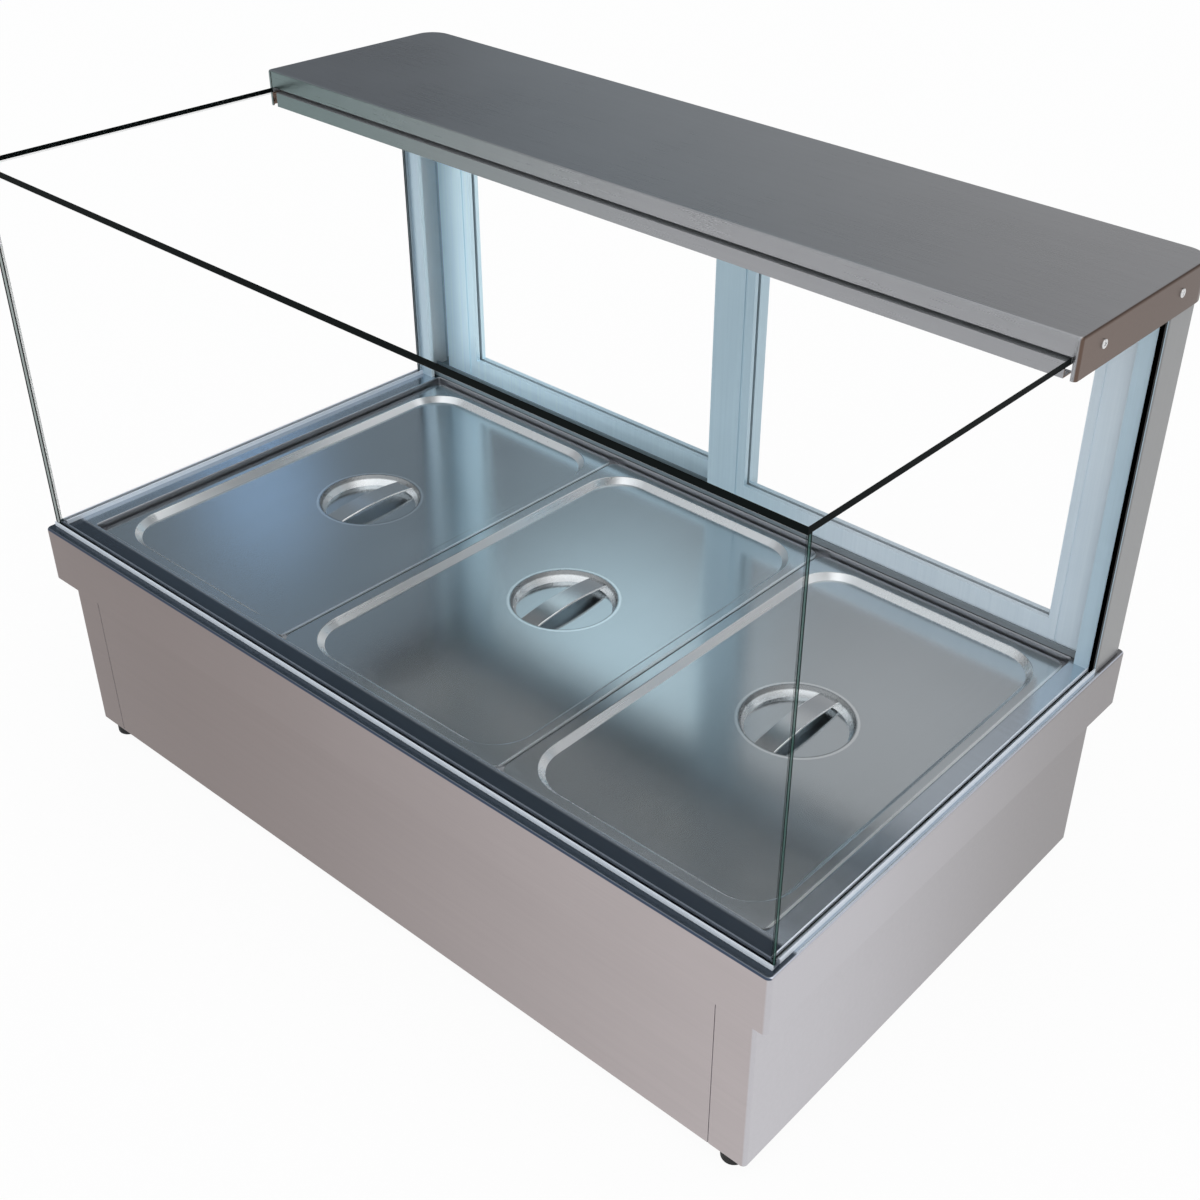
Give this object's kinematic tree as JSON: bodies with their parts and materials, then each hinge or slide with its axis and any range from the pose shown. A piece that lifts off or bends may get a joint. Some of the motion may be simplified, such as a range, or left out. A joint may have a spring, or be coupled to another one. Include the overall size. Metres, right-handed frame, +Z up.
{
  "type": "hot food display",
  "caption": "Counter-top hot food display with a heated well of lidded pans under square glass, a hood over the rear and sliding rear doors.",
  "frame": {"origin": "on the counter, midway along the front and midway from front to rear", "axes": "+X along the front to the right, +Y to the rear where the operator stands, +Z up"},
  "size_m": [1.0636, 0.64, 0.74],
  "materials": {
    "cabinet_steel": "satin",
    "tray_steel": "bright",
    "pan_steel": "satin",
    "channel_aluminium": "bright",
    "door_aluminium": "satin",
    "clear_glass": "clear",
    "black_rubber": "matt",
    "screw_steel": "bright",
    "black_plastic": "gloss",
    "amber_lens": "gloss",
    "white_nylon": "matt",
    "ceramic": "matt",
    "lamp_quartz": "clear",
    "element_sheath": "matt",
    "insulation_board": "matt"
  },
  "bodies": {
    "base": {"base_plate": "cabinet_steel", "bottom_door_track": "door_aluminium", "cable_gland": "black_plastic", "control_plate": "cabinet_steel", "deck": "cabinet_steel", "element_clamps": "tray_steel", "feet": "black_rubber", "foot_screws": "screw_steel", "front_glass": "clear_glass", "front_glass_channel": "channel_aluminium", "front_panel": "cabinet_steel", "heat_lamps": "lamp_quartz", "heating_element": "element_sheath", "hood_fascia": "cabinet_steel", "hood_screws": "screw_steel", "hood_shell": "cabinet_steel", "lamp_guard": "tray_steel", "lamp_holders": "ceramic", "lamp_tray": "tray_steel", "left_end_glass": "clear_glass", "left_end_panel": "cabinet_steel", "left_glass_channel": "channel_aluminium", "left_hood_bracket": "cabinet_steel", "left_post": "cabinet_steel", "pan_bars": "cabinet_steel", "pilot_lamp": "amber_lens", "post_seals": "black_rubber", "rear_panel": "cabinet_steel", "rear_panel_screws": "screw_steel", "right_end_glass": "clear_glass", "right_end_panel": "cabinet_steel", "right_glass_channel": "channel_aluminium", "right_hood_bracket": "cabinet_steel", "right_post": "cabinet_steel", "switch_housings": "black_plastic", "tank_insulation": "insulation_board", "terminal_block": "white_nylon", "thermostat_body": "black_plastic", "top_door_track": "door_aluminium", "top_glass": "clear_glass", "well_tank": "cabinet_steel"},
    "right_door": {"right_door_frame": "door_aluminium", "right_door_glass": "clear_glass", "right_door_glides": "white_nylon"},
    "left_door": {"left_door_frame": "door_aluminium", "left_door_glass": "clear_glass", "left_door_glides": "white_nylon"},
    "knob": {"thermostat_knob": "black_plastic", "thermostat_shaft": "screw_steel"},
    "heat_switch": {"heat_rocker": "black_plastic"},
    "lamp_switch": {"lamp_rocker": "black_plastic"},
    "left_food_pan": {"left_pan": "pan_steel"},
    "left_pan_cover": {"left_lid": "pan_steel", "left_lid_handle": "pan_steel"},
    "middle_food_pan": {"middle_pan": "pan_steel"},
    "middle_pan_cover": {"middle_lid": "pan_steel", "middle_lid_handle": "pan_steel"},
    "right_food_pan": {"right_pan": "pan_steel"},
    "right_pan_cover": {"right_lid": "pan_steel", "right_lid_handle": "pan_steel"}
  },
  "joints": [
    {"name": "right_door_slide", "type": "slide", "parent": "base", "child": "right_door", "axis": [-1, 0, 0], "range_m": [0, 0.49]},
    {"name": "left_door_slide", "type": "slide", "parent": "base", "child": "left_door", "axis": [1, 0, 0], "range_m": [-0.016, 0.474]},
    {"name": "thermostat_turn", "type": "hinge", "parent": "base", "child": "knob", "pos_m": [-0.402, 0.3035, 0.114], "axis": [0, -1, 0], "range_deg": [0, 270]},
    {"name": "heat_switch_tip", "type": "hinge", "parent": "base", "child": "heat_switch", "pos_m": [-0.302, 0.2995, 0.114], "axis": [1, 0, 0], "range_deg": [-20, 0]},
    {"name": "lamp_switch_tip", "type": "hinge", "parent": "base", "child": "lamp_switch", "pos_m": [-0.256, 0.2995, 0.114], "axis": [1, 0, 0], "range_deg": [-20, 0]},
    {"name": "left_pan_lift", "type": "slide", "parent": "base", "child": "left_food_pan", "axis": [0, 0, 1], "range_m": [0, 0.15]},
    {"name": "left_lid_lift", "type": "slide", "parent": "left_food_pan", "child": "left_pan_cover", "axis": [0, 0, 1], "range_m": [0, 0.15]},
    {"name": "middle_pan_lift", "type": "slide", "parent": "base", "child": "middle_food_pan", "axis": [0, 0, 1], "range_m": [0, 0.15]},
    {"name": "middle_lid_lift", "type": "slide", "parent": "middle_food_pan", "child": "middle_pan_cover", "axis": [0, 0, 1], "range_m": [0, 0.15]},
    {"name": "right_pan_lift", "type": "slide", "parent": "base", "child": "right_food_pan", "axis": [0, 0, 1], "range_m": [0, 0.15]},
    {"name": "right_lid_lift", "type": "slide", "parent": "right_food_pan", "child": "right_pan_cover", "axis": [0, 0, 1], "range_m": [0, 0.15]}
  ]
}
